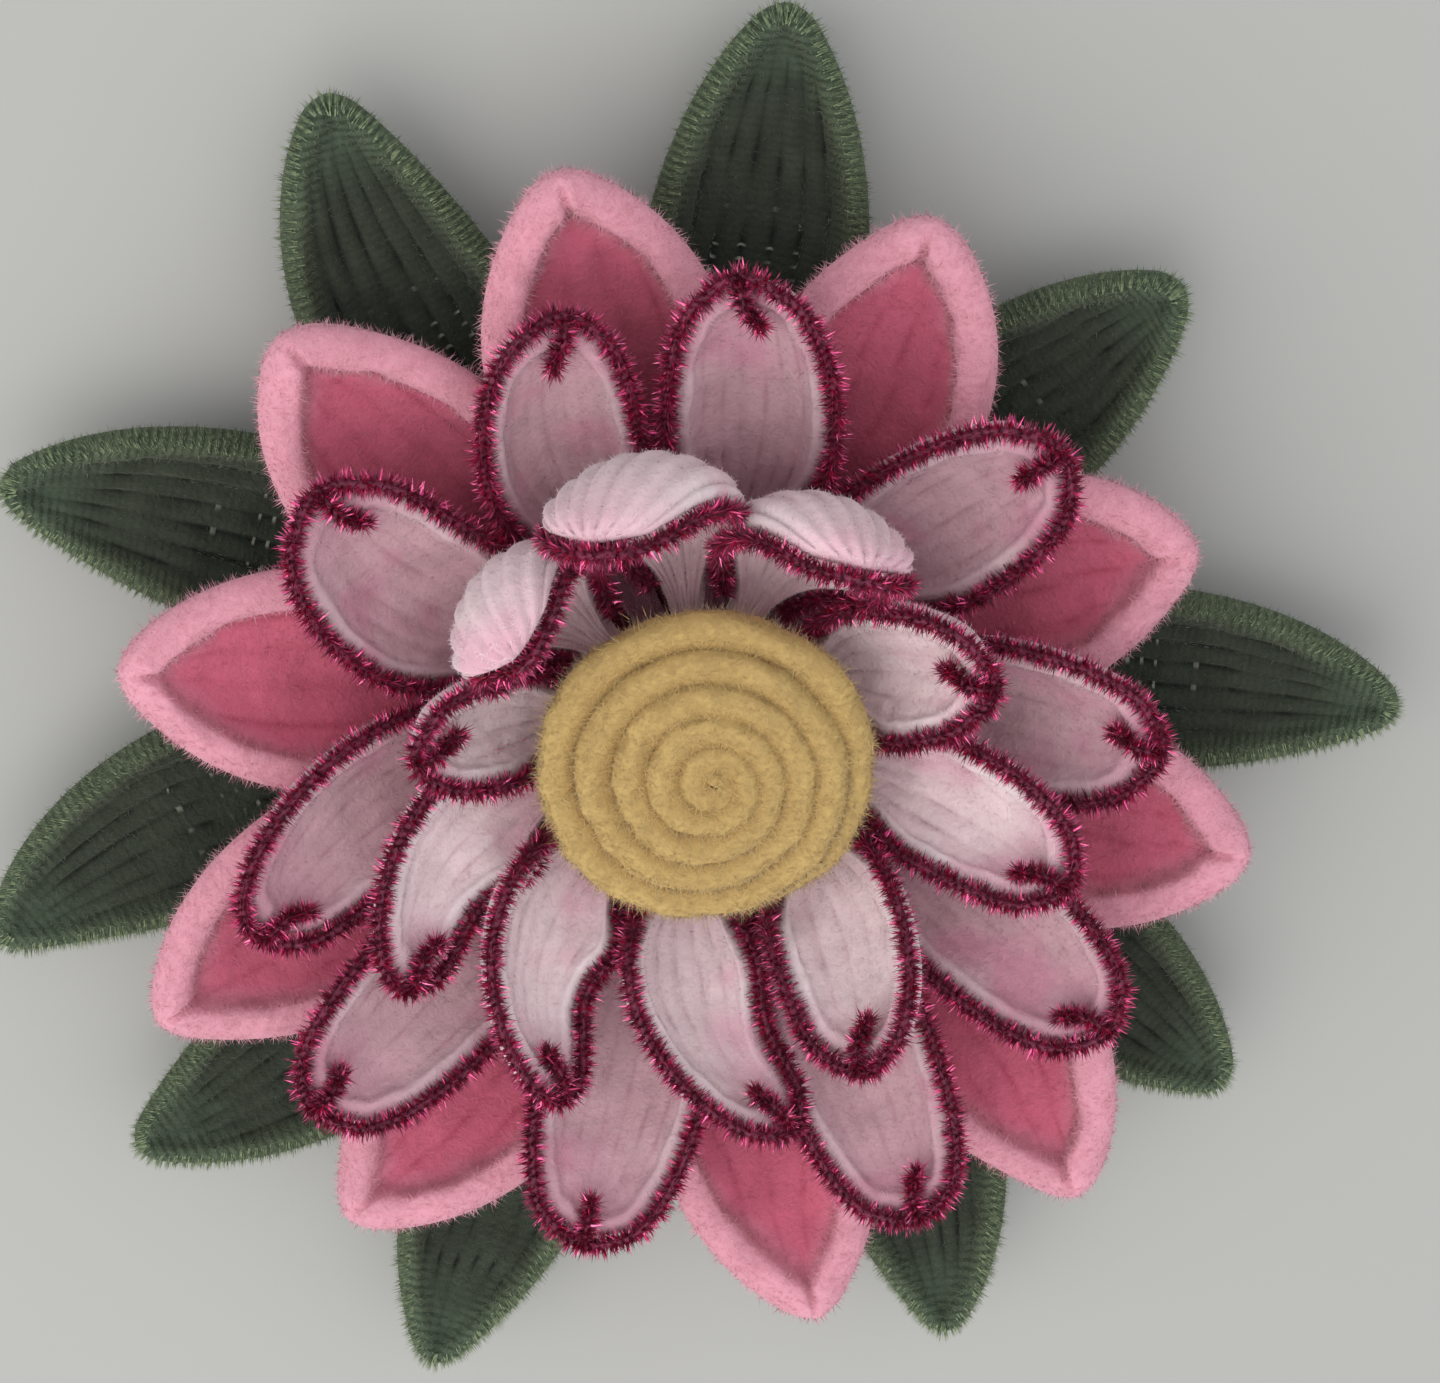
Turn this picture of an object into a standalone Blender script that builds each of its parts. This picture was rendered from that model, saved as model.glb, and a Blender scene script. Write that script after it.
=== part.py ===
"""Flower made of chenille stems, lying face up on its felt backing.

Metres, +Z up. The origin is on the underside of the backing, on the flower's axis, and +Y is
the flower's top. Azimuths are degrees clockwise from +Y, seen from above.

Each petal is a row of stems, bent into nested loops and cupped like a spoon. The petals stand in
four whorls round a bound hub: leaves, pink petals, outer white petals and inner white petals.
The white petals carry a tinsel stem on their rim. A stem coiled into a low dome is the centre.
"""
import math
from dataclasses import dataclass

import bmesh
import bpy
from mathutils import Matrix, Vector

# Stems and the gap between pieces that touch
PLUSH_STEM = 0.0066
TINSEL_STEM = 0.0040
SEAT_GAP = 0.0003

# Hub of bound stem ends, and the felt backing under it
HUB_RADIUS = 0.0125
HUB_SIDES = 48
ROOT_DEPTH = 0.0030
BACKING_RADIUS = 0.034
BACKING_THICKNESS = 0.003
BACKING_SIDES = 48

# Coiled centre
COIL_TURNS = 5
COIL_PITCH = 0.0062
COIL_DOME = 0.0085
COIL_CREASE = 0.0022
COIL_SEGMENTS = 24
COIL_UNDERCUT = 0.0017
COIL_RIM_SHARE = 0.6
COIL_EYE_TURN = 0.75
COIL_EYE_INSET = -0.35

# Free height between a whorl's roots and the whorl above
ROOT_CLEARANCE = 0.0018

# Form that all the petals share: where their sections lie, from the root (0) to the tip (1),
# and how their bend, sway and roll set in along them
STATIONS = (0.0, 0.3, 0.62, 0.88, 1.0)
HOODED_STATIONS = (0.0, 0.3, 0.55, 0.7, 0.8, 0.91, 1.0)
SPINE_STEPS = 50
ROOT_BEND = 0.45
SWAY_POWER = 2.5
ROLL_POWER = 0.5
ROOT_CUP_SHARE = 0.2

# Height of the valleys between stems, and of the doubled rim, as shares of a stem
VALLEY_SHARE = 0.62
RIM_SHARE = 1.25

# Angle in degrees above which an edge shows
SHARP_EDGE = 50

# Tinsel edge of the white petals
TINSEL_SIDES = 4
TINSEL_START = 0.85
TINSEL_RIDE = 0.0008
TAIL_WIDTH = 0.0032
TAIL_LENGTH = 0.006
TAIL_RISE = 0.0005
TAIL_TAPER = 0.85
# The tail's hook over the rim: inward and up as shares of a tinsel stem, and tilt in degrees
TAIL_HOOK = ((0.3, 0.2, 45), (1.0, 0.5, 45))


@dataclass
class Ring:
    """The form that the petals of one whorl share. Lengths in metres, angles in degrees."""

    stems: int
    half_width: float
    root_half_width: float
    tip_half_width: float
    widest: float
    waist_power: float
    tip_power: float
    root_height: float
    first_root: float
    lift: float
    curl: float
    curl_power: float
    cup: float


@dataclass
class Petal:
    """One petal: where its tip lies, its length, and how its bend differs from its whorl's."""

    azimuth: float
    length: float
    lift: float = 0.0
    curl: float = 0.0
    roll: float = 0.0
    width: float = 1.0
    shift: float = 0.0
    hooded: bool = False

    def stations(self):
        return HOODED_STATIONS if self.hooded else STATIONS


LEAF_HEIGHT = BACKING_THICKNESS + SEAT_GAP * 2 + PLUSH_STEM / 2
PINK_HEIGHT = LEAF_HEIGHT + PLUSH_STEM + ROOT_CLEARANCE
OUTER_HEIGHT = PINK_HEIGHT + PLUSH_STEM + ROOT_CLEARANCE
INNER_HEIGHT = OUTER_HEIGHT + PLUSH_STEM + TINSEL_STEM + ROOT_CLEARANCE

LEAF_RING = Ring(
    stems=6, half_width=0.0235, root_half_width=0.0028, tip_half_width=0.0015, widest=0.58,
    waist_power=1.8, tip_power=0.95, root_height=LEAF_HEIGHT, first_root=10, lift=1, curl=16,
    curl_power=2.0, cup=42,
)
PINK_RING = Ring(
    stems=6, half_width=0.0260, root_half_width=0.0030, tip_half_width=0.0020, widest=0.62,
    waist_power=2.2, tip_power=0.85, root_height=PINK_HEIGHT, first_root=28, lift=9, curl=28,
    curl_power=2.0, cup=55,
)
OUTER_RING = Ring(
    stems=7, half_width=0.0185, root_half_width=0.0030, tip_half_width=0.0040, widest=0.65,
    waist_power=3.0, tip_power=0.55, root_height=OUTER_HEIGHT, first_root=9, lift=19, curl=25,
    curl_power=2.0, cup=58,
)
INNER_RING = Ring(
    stems=7, half_width=0.0155, root_half_width=0.0028, tip_half_width=0.0040, widest=0.62,
    waist_power=3.4, tip_power=0.55, root_height=INNER_HEIGHT, first_root=-10, lift=26, curl=24,
    curl_power=3.0, cup=64,
)

# The coil lies where the inner petals, rising from the hub at their lift, have come to its rim
COIL_RADIUS = COIL_PITCH * (COIL_TURNS + 1)
SEAT_RISE = (COIL_RADIUS - HUB_RADIUS) * math.tan(math.radians(INNER_RING.lift))
COIL_HEIGHT = INNER_HEIGHT + SEAT_RISE + PLUSH_STEM / 2 + ROOT_CLEARANCE

LEAVES = (
    Petal(7, 0.131, shift=-3), Petal(48, 0.118, width=0.95), Petal(91, 0.134, width=0.9, shift=5),
    Petal(128, 0.134, shift=9), Petal(160, 0.149), Petal(201, 0.158, shift=12),
    Petal(230, 0.150, shift=-3), Petal(250, 0.148, shift=-4), Petal(288, 0.137, width=0.95, shift=-6),
    Petal(330, 0.132, shift=-13),
)
PINK_PETALS = (
    Petal(23, 0.103, width=0.95), Petal(69, 0.095), Petal(103, 0.105, shift=6), Petal(142, 0.120),
    Petal(169, 0.124), Petal(215, 0.121), Petal(241, 0.118, shift=-1), Petal(277, 0.106, shift=-3),
    Petal(316, 0.104, shift=-5), Petal(347, 0.106, roll=-8, shift=-6),
)
OUTER_PETALS = (
    Petal(5, 0.090, shift=2), Petal(47, 0.086), Petal(88, 0.083, shift=3), Petal(124, 0.093, shift=5),
    Petal(155, 0.101, shift=1), Petal(193, 0.100, width=1.05, shift=3), Petal(227, 0.100),
    Petal(248, 0.088, lift=1, width=0.95, shift=3), Petal(303, 0.086, shift=2),
    Petal(344, 0.085, width=0.95, shift=-1),
)
INNER_PETALS = (
    Petal(346, 0.089, lift=5, curl=98, roll=-12, width=1.2, hooded=True, shift=1),
    Petal(26, 0.083, lift=4, curl=85, roll=-14, width=1.15, hooded=True),
    Petal(72, 0.053, lift=4, width=1.08, roll=10),
    Petal(107, 0.068, lift=-1, roll=14, shift=3),
    Petal(150, 0.067, lift=15, width=1.1, shift=2),
    Petal(167, 0.071, lift=1, roll=14, width=1.05, shift=8),
    Petal(203, 0.068, roll=18, width=1.05, shift=6),
    Petal(233, 0.066, lift=-1, shift=4),
    Petal(275, 0.051, lift=-1, curl=14, roll=-12, width=0.85, shift=1),
    Petal(321, 0.083, lift=-1, curl=138, roll=-20, width=1.05, hooded=True, shift=-2),
)


def material(name, color, roughness, metallic=0.0):
    """A plain material for one kind of stem."""
    made = bpy.data.materials.new(name)
    made.use_nodes = True
    shader = made.node_tree.nodes["Principled BSDF"]
    shader.inputs["Base Color"].default_value = (*color, 1.0)
    shader.inputs["Roughness"].default_value = roughness
    shader.inputs["Metallic"].default_value = metallic
    return made


def radial(azimuth):
    """Unit vector away from the flower's axis at an azimuth in degrees."""
    angle = math.radians(azimuth)
    return Vector((math.sin(angle), math.cos(angle), 0.0))


def new_object(name, mesh_data, made_of):
    """An object in the scene with the given material."""
    mesh_data.materials.append(made_of)
    mesh_data.shade_smooth()
    mesh_data.set_sharp_from_angle(angle=math.radians(SHARP_EDGE))
    placed = bpy.data.objects.new(name, mesh_data)
    bpy.context.scene.collection.objects.link(placed)
    return placed


def closed_loft(name, loops):
    """A mesh skinned over closed loops of equal length, with a flat face on both ends."""
    shape = bmesh.new()
    rows = [[shape.verts.new(point) for point in loop] for loop in loops]
    for row, following in zip(rows, rows[1:]):
        for i, vert in enumerate(row):
            j = (i + 1) % len(row)
            shape.faces.new((vert, row[j], following[j], following[i]))
    shape.faces.new(rows[0][::-1])
    shape.faces.new(rows[-1])
    bmesh.ops.recalc_face_normals(shape, faces=shape.faces)
    mesh_data = bpy.data.meshes.new(name)
    shape.to_mesh(mesh_data)
    shape.free()
    return mesh_data


def half_width_at(ring, petal, u):
    """Half the petal's width at u, along its bend, from the root (0) to the tip (1)."""
    widest = ring.half_width * petal.width
    if u < ring.widest:
        grown = math.sin(math.pi / 2 * u / ring.widest) ** ring.waist_power
        return ring.root_half_width + (widest - ring.root_half_width) * grown
    past = (u - ring.widest) / (1 - ring.widest)
    left = (1 - past * past) ** ring.tip_power
    return ring.tip_half_width + (widest - ring.tip_half_width) * left


def spine(ring, petal, root, root_radius):
    """Frames along the petal's middle line: point, direction along, across and up."""
    radius = root_radius
    height = ring.root_height
    step = petal.length / SPINE_STEPS
    points = []
    for i in range(SPINE_STEPS + 1):
        u = i / SPINE_STEPS
        azimuth = root + (petal.azimuth - root) * u ** SWAY_POWER
        points.append((radial(azimuth) * radius + Vector((0, 0, height)), azimuth))
        slope = (ring.lift + petal.lift) * min(1.0, u / ROOT_BEND)
        slope += (ring.curl + petal.curl) * u ** ring.curl_power
        radius += step * math.cos(math.radians(slope))
        height += step * math.sin(math.radians(slope))
    frames = []
    for i, (point, azimuth) in enumerate(points):
        before = points[max(i - 1, 0)][0]
        after = points[min(i + 1, SPINE_STEPS)][0]
        along = (after - before).normalized() if i else radial(azimuth)
        across = radial(azimuth + 90)
        across = (across - along * across.dot(along)).normalized()
        up = across.cross(along)
        roll = math.radians(petal.roll) * (i / SPINE_STEPS) ** ROLL_POWER
        turned = across * math.cos(roll) + up * math.sin(roll)
        frames.append((point, along, turned, turned.cross(along)))
    return frames


def frame_at(frames, u):
    """The frame at a share u of the petal's length."""
    place = u * (len(frames) - 1)
    low = min(int(place), len(frames) - 2)
    mix = place - low
    return [one.lerp(other, mix) for one, other in zip(frames[low], frames[low + 1])]


def bend(half_arc, cup, s, offset):
    """Place across the cupped section: s from -1 to 1 along the bend, offset towards its inside."""
    bend_radius = half_arc / cup
    angle = s * cup
    return (bend_radius - offset) * math.sin(angle), bend_radius - (bend_radius - offset) * math.cos(angle)


def bend_at(ring, petal, u):
    """Half the petal's width along its bend at u, and half the angle of that bend in radians."""
    half_arc = half_width_at(ring, petal, u)
    share = half_arc / (ring.half_width * petal.width)
    return half_arc, math.radians(ring.cup) * (ROOT_CUP_SHARE + (1 - ROOT_CUP_SHARE) * share)


def section(ring, petal, frames, u):
    """Outline of the stems side by side at u: over the top from rim to rim, then back below."""
    point, _, across, up = frame_at(frames, u)
    half_arc, cup = bend_at(ring, petal, u)
    crest = PLUSH_STEM / 2
    outline = [(-1.0, 0.0)]
    for j in range(2 * ring.stems - 1):
        s = -1 + (j + 1) / ring.stems
        rim = RIM_SHARE if j in (0, 2 * ring.stems - 2) else 1.0
        outline.append((s, crest * (rim if j % 2 == 0 else VALLEY_SHARE)))
    outline.append((1.0, 0.0))
    for j in reversed(range(2 * ring.stems - 1)):
        outline.append((-1 + (j + 1) / ring.stems, -crest * (1.0 if j % 2 == 0 else VALLEY_SHARE)))
    loop = []
    for s, offset in outline:
        sideways, rise = bend(half_arc, cup, s, offset)
        loop.append(point + across * sideways + up * rise)
    return loop


def petal_mesh(name, ring, petal, root, root_radius=HUB_RADIUS + SEAT_GAP):
    """One petal or leaf: stems side by side, cupped, narrow at the root and at the tip."""
    frames = spine(ring, petal, root, root_radius)
    return closed_loft(name, [section(ring, petal, frames, u) for u in petal.stations()])


def rim_path(ring, petal, frames):
    """Middle line of the tinsel stem that lies along the rim: up one side, round the tip, and back."""
    edge = []
    for s in (-1, 1):
        side = []
        for u in petal.stations():
            point, _, across, up = frame_at(frames, u)
            half_arc, cup = bend_at(ring, petal, u)
            sideways, rise = bend(half_arc, cup, s, 0.0)
            inside = up * math.cos(s * cup) - across * math.sin(s * cup)
            side.append((point + across * sideways + up * rise, inside))
        edge.extend(side if s < 0 else side[::-1])
    spacing = TINSEL_STEM / 2 + SEAT_GAP
    path = []
    for i, (point, inside) in enumerate(edge):
        before = (point - edge[i - 1][0]).normalized() if i else (edge[1][0] - point).normalized()
        after = (edge[i + 1][0] - point).normalized() if i + 1 < len(edge) else before
        one = before.cross(inside) * -1
        other = after.cross(inside) * -1
        outward = (one + other) / (1 + one.dot(other))
        path.append(point + outward * spacing + inside * TINSEL_RIDE)
    path[0] = path[0].lerp(path[1], TINSEL_START)
    path[-1] = path[-1].lerp(path[-2], TINSEL_START)
    tip = len(petal.stations())
    middle = (path[tip - 1] + path[tip]) / 2
    half = (path[tip] - path[tip - 1]).normalized() * TAIL_WIDTH / 2
    return path[:tip] + [middle - half, middle + half] + path[tip:]


def tube_loops(path, radius, sides):
    """Loops of a tube round a path, mitred at each bend."""
    loops = []
    normal = None
    for i, point in enumerate(path):
        before = (point - path[i - 1]).normalized() if i else (path[1] - point).normalized()
        after = (path[i + 1] - point).normalized() if i + 1 < len(path) else before
        along = (before + after).normalized()
        if normal is None:
            normal = along.orthogonal().normalized()
        normal = (normal - before * normal.dot(before)).normalized()
        side = before.cross(normal)
        loop = []
        for k in range(sides):
            angle = 2 * math.pi * k / sides
            offset = (normal * math.cos(angle) + side * math.sin(angle)) * radius
            offset -= before * (offset.dot(along) / before.dot(along))
            loop.append(point + offset)
        loops.append(loop)
    return loops


def union(base, others):
    """Join other objects into the base object by a Boolean union, and remove them."""
    for other in others:
        cut = base.modifiers.new("union", "BOOLEAN")
        cut.operation = "UNION"
        cut.object = other
    depsgraph = bpy.context.evaluated_depsgraph_get()
    joined = bpy.data.meshes.new_from_object(base.evaluated_get(depsgraph))
    base.modifiers.clear()
    base.data = joined
    for other in others:
        bpy.data.objects.remove(other)


def tinsel_edge(name, ring, petal, root, made_of):
    """The tinsel stem on a white petal's rim, with its twisted ends hooked in at the tip."""
    frames = spine(ring, petal, root, HUB_RADIUS + SEAT_GAP)
    path = rim_path(ring, petal, frames)
    mesh_data = closed_loft(name, tube_loops(path, TINSEL_STEM / 2, TINSEL_SIDES))
    _, along, _, up = frames[-1]
    tip = len(petal.stations())
    draw_tail(mesh_data, tip * TINSEL_SIDES, (path[tip] + path[tip + 1]) / 2, along, up)
    return new_object(name, mesh_data, made_of)


def draw_tail(mesh_data, first, middle, along, up):
    """Draw the tube's upper face at the tip over the rim into the hook of the two twisted ends."""
    shape = bmesh.new()
    shape.from_mesh(mesh_data)
    shape.faces.ensure_lookup_table()
    face = max(shape.faces[first:first + TINSEL_SIDES], key=lambda side: side.normal.dot(up))
    over_rim = PLUSH_STEM / 2 * RIM_SHARE
    steps = [(TINSEL_STEM * inward, over_rim + TINSEL_STEM * rise, tilt) for inward, rise, tilt in TAIL_HOOK]
    steps.append((steps[-1][0] + TAIL_LENGTH, steps[-1][1] + TAIL_RISE, 0))
    for inward, height, tilt in steps:
        face = bmesh.ops.extrude_discrete_faces(shape, faces=[face])["faces"][0]
        centre = face.calc_center_median()
        turn = Matrix.Rotation(math.radians(tilt), 3, along.cross(up))
        place = middle - along * inward + up * height
        for vert in face.verts:
            vert.co = place + turn @ (vert.co - centre) * TAIL_TAPER
    bmesh.ops.recalc_face_normals(shape, faces=shape.faces)
    shape.to_mesh(mesh_data)
    shape.free()


def cylinder(name, radius, sides, bottom, top):
    """An upright cylinder on the flower's axis."""
    loops = []
    for height in (bottom, top):
        loops.append([radial(360 * k / sides) * radius + Vector((0, 0, height)) for k in range(sides)])
    return closed_loft(name, loops)


def root_azimuth(ring, petal, place, count):
    """Where a petal grows from the hub: its even share of the turn, within half a turn of its tip."""
    root = ring.first_root + petal.shift + 360 * place / count
    return petal.azimuth + (root - petal.azimuth + 180) % 360 - 180


def leaf_whorl(made_of):
    """The hub of bound stem ends with the ten leaves that grow out of it."""
    hub = new_object(
        "leaf_whorl",
        cylinder("leaf_whorl", HUB_RADIUS, HUB_SIDES, BACKING_THICKNESS + SEAT_GAP, COIL_HEIGHT - SEAT_GAP),
        made_of,
    )
    leaves = []
    for i, petal in enumerate(LEAVES):
        root = root_azimuth(LEAF_RING, petal, i, len(LEAVES))
        mesh_data = petal_mesh("leaf", LEAF_RING, petal, root, HUB_RADIUS - ROOT_DEPTH)
        leaves.append(new_object("leaf", mesh_data, made_of))
    union(hub, leaves)
    return hub


def whorl(prefix, ring, petals, made_of, tinsel=None):
    """The petals of one whorl, each its own object, with a tinsel edge where one is given."""
    for i, petal in enumerate(petals):
        root = root_azimuth(ring, petal, i, len(petals))
        name = f"{prefix}_{i + 1:02d}"
        new_object(name, petal_mesh(name, ring, petal, root), made_of)
        if tinsel:
            tinsel_edge(f"{prefix}_tinsel_{i + 1:02d}", ring, petal, root, tinsel)


def coil_point(turn, inset, drop):
    """A point on the coil's top, turn counted from the middle, inset in pitches."""
    radius = COIL_PITCH * (turn + inset)
    height = COIL_HEIGHT + PLUSH_STEM + COIL_DOME * (1 - (radius / COIL_RADIUS) ** 2) - drop
    return radial(360 * turn) * radius + Vector((0, 0, height))


def coil_centre(made_of):
    """A stem coiled from the middle into a low dome, one solid with a crease between its turns."""
    shape = bmesh.new()
    count = COIL_TURNS * COIL_SEGMENTS
    valley = [
        shape.verts.new(coil_point(i / COIL_SEGMENTS, 0.0, COIL_CREASE)) for i in range(count + COIL_SEGMENTS + 1)
    ]
    crest = [shape.verts.new(coil_point(i / COIL_SEGMENTS, 0.5, 0.0)) for i in range(count + 1)]
    eye = shape.verts.new(coil_point(COIL_EYE_TURN, COIL_EYE_INSET, 0.0))
    for i in range(count):
        outer = i + COIL_SEGMENTS
        shape.faces.new((valley[i], valley[i + 1], crest[i + 1], crest[i]))
        shape.faces.new((crest[i], crest[i + 1], valley[outer + 1], valley[outer]))
    curl_loop = valley[: COIL_SEGMENTS + 1] + [crest[0]]
    for i, vert in enumerate(curl_loop):
        shape.faces.new((vert, eye, curl_loop[(i + 1) % len(curl_loop)]))
    rim = valley[count:] + [crest[-1]]
    for vert in rim:
        vert.co.z = COIL_HEIGHT + PLUSH_STEM * COIL_RIM_SHARE
    crest[-1].co.z = COIL_HEIGHT + PLUSH_STEM
    lower = []
    for vert in rim:
        flat = Vector((vert.co.x, vert.co.y, 0))
        inward = flat * (1 - COIL_UNDERCUT / flat.length)
        lower.append(shape.verts.new(inward + Vector((0, 0, COIL_HEIGHT))))
    for i, vert in enumerate(rim):
        j = (i + 1) % len(rim)
        shape.faces.new((vert, lower[i], lower[j], rim[j]))
    shape.faces.new(lower)
    bmesh.ops.triangulate(shape, faces=[face for face in shape.faces if len(face.verts) > 4])
    bmesh.ops.recalc_face_normals(shape, faces=shape.faces)
    mesh_data = bpy.data.meshes.new("centre_coil")
    shape.to_mesh(mesh_data)
    shape.free()
    return new_object("centre_coil", mesh_data, made_of)


def main():
    for old in list(bpy.data.objects):
        bpy.data.objects.remove(old)
    green = material("green_plush", (0.07, 0.13, 0.07), 0.95)
    pink = material("pink_plush", (0.78, 0.24, 0.38), 0.95)
    white = material("white_plush", (0.80, 0.70, 0.74), 0.95)
    tinsel = material("magenta_tinsel", (0.50, 0.02, 0.14), 0.3, 0.9)
    yellow = material("yellow_plush", (0.75, 0.58, 0.24), 0.95)
    felt = material("green_felt", (0.05, 0.09, 0.05), 0.98)
    new_object("felt_backing", cylinder("felt_backing", BACKING_RADIUS, BACKING_SIDES, 0.0, BACKING_THICKNESS), felt)
    leaf_whorl(green)
    whorl("pink_petal", PINK_RING, PINK_PETALS, pink)
    whorl("outer_petal", OUTER_RING, OUTER_PETALS, white, tinsel)
    whorl("inner_petal", INNER_RING, INNER_PETALS, white, tinsel)
    coil_centre(yellow)


main()
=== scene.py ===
"""The flower of chenille stems as it looks: plush stems, tinsel edges and a coiled centre.

Metres, +Z up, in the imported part's frame. +Y is the flower's top, and azimuths are degrees
clockwise from +Y, seen from above. The form of the petals repeats that of the part's solids. Each
has a rim stem round stems side by side, and pile and foil slivers as thin blades of mesh.
"""

import math
from dataclasses import dataclass

import bpy
import numpy as np
from mathutils import Matrix, Vector, noise


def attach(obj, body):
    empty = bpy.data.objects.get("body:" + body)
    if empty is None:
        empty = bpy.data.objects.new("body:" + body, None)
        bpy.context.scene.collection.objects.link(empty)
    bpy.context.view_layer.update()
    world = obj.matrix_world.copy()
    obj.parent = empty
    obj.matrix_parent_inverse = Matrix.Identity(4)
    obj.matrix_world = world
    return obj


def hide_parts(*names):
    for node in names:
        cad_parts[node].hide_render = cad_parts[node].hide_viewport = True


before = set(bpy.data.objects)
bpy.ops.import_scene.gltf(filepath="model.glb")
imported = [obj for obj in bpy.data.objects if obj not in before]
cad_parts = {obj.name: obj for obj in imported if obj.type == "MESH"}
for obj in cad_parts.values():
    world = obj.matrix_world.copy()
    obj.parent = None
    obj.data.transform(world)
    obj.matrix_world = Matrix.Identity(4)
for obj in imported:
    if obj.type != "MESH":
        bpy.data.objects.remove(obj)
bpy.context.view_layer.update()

# Form shared with the part's solids
PLUSH_STEM = 0.0066
TINSEL_STEM = 0.0040
SEAT_GAP = 0.0003
HUB_RADIUS = 0.0125
ROOT_DEPTH = 0.0030
BACKING_RADIUS = 0.034
BACKING_THICKNESS = 0.003
COIL_TURNS = 5
COIL_PITCH = 0.0062
COIL_DOME = 0.0085
ROOT_CLEARANCE = 0.0018
SPINE_STEPS = 50
ROOT_BEND = 0.45
SWAY_POWER = 2.5
ROLL_POWER = 0.5
ROOT_CUP_SHARE = 0.2
TAPER_FROM, TAPER_TO = 0.45, 0.85

LEAF_HEIGHT = BACKING_THICKNESS + SEAT_GAP * 2 + PLUSH_STEM / 2
PINK_HEIGHT = LEAF_HEIGHT + PLUSH_STEM + ROOT_CLEARANCE
OUTER_HEIGHT = PINK_HEIGHT + PLUSH_STEM + ROOT_CLEARANCE
INNER_HEIGHT = OUTER_HEIGHT + PLUSH_STEM + TINSEL_STEM + ROOT_CLEARANCE


@dataclass
class Ring:
    """The form that the petals of one whorl share. Lengths in metres, angles in degrees."""

    half_width: float
    root_half_width: float
    tip_half_width: float
    widest: float
    waist_power: float
    tip_power: float
    root_height: float
    first_root: float
    lift: float
    curl: float
    curl_power: float
    cup: float


@dataclass
class Petal:
    """One petal: where its tip lies, its length, and how its form differs from its whorl's.

    Bow swings its middle sideways in degrees, and taper is the share of width lost before the tip.
    """

    azimuth: float
    length: float
    lift: float = 0.0
    curl: float = 0.0
    roll: float = 0.0
    width: float = 1.0
    shift: float = 0.0
    bow: float = 0.0
    taper: float = 0.0


LEAF_RING = Ring(
    half_width=0.0235, root_half_width=0.0028, tip_half_width=0.0025, widest=0.58,
    waist_power=1.8, tip_power=0.85, root_height=LEAF_HEIGHT, first_root=10, lift=1, curl=16,
    curl_power=2.0, cup=42,
)
PINK_RING = Ring(
    half_width=0.0260, root_half_width=0.0030, tip_half_width=0.0020, widest=0.62,
    waist_power=2.2, tip_power=0.85, root_height=PINK_HEIGHT, first_root=28, lift=9, curl=28,
    curl_power=2.0, cup=55,
)
OUTER_RING = Ring(
    half_width=0.0185, root_half_width=0.0030, tip_half_width=0.0040, widest=0.65,
    waist_power=3.0, tip_power=0.55, root_height=OUTER_HEIGHT, first_root=9, lift=19, curl=25,
    curl_power=2.0, cup=58,
)
INNER_RING = Ring(
    half_width=0.0155, root_half_width=0.0028, tip_half_width=0.0040, widest=0.62,
    waist_power=3.4, tip_power=0.55, root_height=INNER_HEIGHT, first_root=-10, lift=26, curl=24,
    curl_power=3.0, cup=64,
)
COIL_RADIUS = COIL_PITCH * (COIL_TURNS + 1)
SEAT_RISE = (COIL_RADIUS - HUB_RADIUS) * math.tan(math.radians(INNER_RING.lift))
COIL_HEIGHT = INNER_HEIGHT + SEAT_RISE + PLUSH_STEM / 2 + ROOT_CLEARANCE

LEAVES = (
    Petal(7, 0.131, shift=-3), Petal(48, 0.118, width=0.95), Petal(91, 0.134, width=0.9, shift=5),
    Petal(128, 0.134, shift=9), Petal(160, 0.149), Petal(201, 0.158, shift=12),
    Petal(230, 0.150, shift=-3), Petal(250, 0.148, shift=-4), Petal(288, 0.137, width=0.95, shift=-6),
    Petal(330, 0.132, shift=-13),
)
PINK_PETALS = (
    Petal(23, 0.103, width=0.95), Petal(69, 0.095), Petal(103, 0.105, shift=6), Petal(142, 0.120),
    Petal(169, 0.124), Petal(215, 0.121), Petal(241, 0.118, shift=-1), Petal(277, 0.106, shift=-3),
    Petal(316, 0.104, shift=-5), Petal(347, 0.106, roll=-8, shift=-6),
)
OUTER_PETALS = (
    Petal(5, 0.090, shift=2), Petal(47, 0.086), Petal(88, 0.083, shift=3), Petal(124, 0.093, shift=5),
    Petal(155, 0.101, shift=1), Petal(193, 0.100, width=1.05, shift=3), Petal(227, 0.100),
    Petal(248, 0.088, lift=1, width=0.95, shift=3), Petal(307, 0.083, width=1.08, shift=2, bow=-3),
    Petal(344, 0.085, width=0.95, shift=-1),
)
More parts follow.
